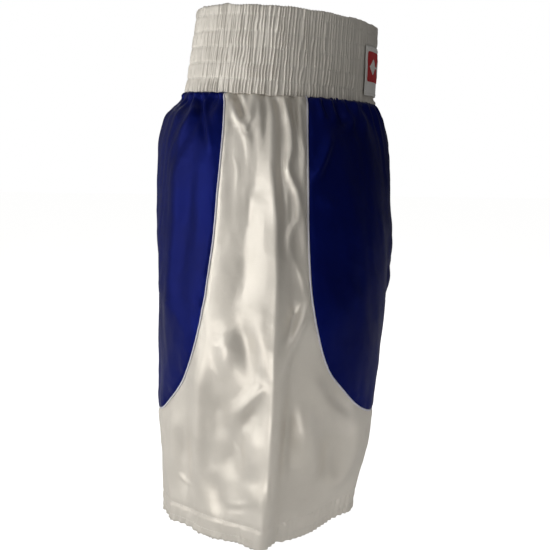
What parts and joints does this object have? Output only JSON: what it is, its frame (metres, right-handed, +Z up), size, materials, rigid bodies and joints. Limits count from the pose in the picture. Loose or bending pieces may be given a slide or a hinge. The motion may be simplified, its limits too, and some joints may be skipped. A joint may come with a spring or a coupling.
{
  "type": "boxing shorts",
  "caption": "Long-cut satin boxing shorts with a deep shirred elastic waistband, contrast front and back panels and a flared side panel that forms the hem.",
  "frame": {"origin": "centre of the waist seam, where the waistband meets the body panels, on the centre plane", "axes": "+Z up through the waist opening, -Y to the wearer's front, +X to the wearer's left"},
  "size_m": [0.441, 0.2916, 0.5978],
  "materials": {
    "satin_white": "white satin weave, long soft highlights",
    "satin_blue": "royal blue satin weave, low sheen",
    "waistband_satin": "white satin, gathered into fine vertical ribs",
    "elastic": "covered woven elastic, matte",
    "piping": "white satin cord",
    "thread": "twisted polyester thread",
    "label_cloth": "woven label, fine weave",
    "label_field": "embroidered field",
    "label_motif": "embroidered plain diamond"
  },
  "bodies": {
    "seat": {"waistband_casing": "waistband_satin", "waistband_elastic": "elastic", "waistband_stitching": "thread", "waist_seam_stitching": "thread", "front_label_patch": "label_cloth", "front_label_field": "label_field", "front_label_motif": "label_motif", "front_label_stitching": "thread", "rise_seam_stitching": "thread", "size_label": "label_cloth", "front_panel_right_hip": "satin_blue", "back_panel_right_hip": "satin_blue", "side_panel_right_hip": "satin_white", "front_panel_right_fold": "satin_blue", "back_panel_right_fold": "satin_blue", "side_panel_right_fold": "satin_white", "piping_front_right_hip": "piping", "piping_back_right_hip": "piping", "piping_front_right_fold": "piping", "piping_back_right_fold": "piping", "front_panel_left_hip": "satin_blue", "back_panel_left_hip": "satin_blue", "side_panel_left_hip": "satin_white", "front_panel_left_fold": "satin_blue", "back_panel_left_fold": "satin_blue", "side_panel_left_fold": "satin_white", "piping_front_left_hip": "piping", "piping_back_left_hip": "piping", "piping_front_left_fold": "piping", "piping_back_left_fold": "piping"},
    "leg_right": {"front_panel_right_leg": "satin_blue", "back_panel_right_leg": "satin_blue", "side_panel_right_leg": "satin_white", "piping_front_right_leg": "piping", "piping_back_right_leg": "piping", "hem_stitching_right": "thread", "inseam_stitching_right": "thread"},
    "leg_left": {"front_panel_left_leg": "satin_blue", "back_panel_left_leg": "satin_blue", "side_panel_left_leg": "satin_white", "piping_front_left_leg": "piping", "piping_back_left_leg": "piping", "hem_stitching_left": "thread", "inseam_stitching_left": "thread"},
    "care_label": {"care_label": "label_cloth"}
  },
  "joints": [
    {"name": "leg_right_swing", "type": "hinge", "parent": "seat", "child": "leg_right", "pos_m": [0, 0.004, -0.242], "axis": [1, 0, 0], "range_deg": [-25, 15], "deforming": ["front_panel_right_fold", "back_panel_right_fold", "side_panel_right_fold", "piping_front_right_fold", "piping_back_right_fold"]},
    {"name": "leg_left_swing", "type": "hinge", "parent": "seat", "child": "leg_left", "pos_m": [0, 0.004, -0.242], "axis": [1, 0, 0], "range_deg": [-25, 15], "deforming": ["front_panel_left_fold", "back_panel_left_fold", "side_panel_left_fold", "piping_front_left_fold", "piping_back_left_fold"]},
    {"name": "care_label_flip", "type": "hinge", "parent": "seat", "child": "care_label", "pos_m": [0.13425, 0, -0.0012], "axis": [0, 1, 0], "range_deg": [0, 110]}
  ]
}
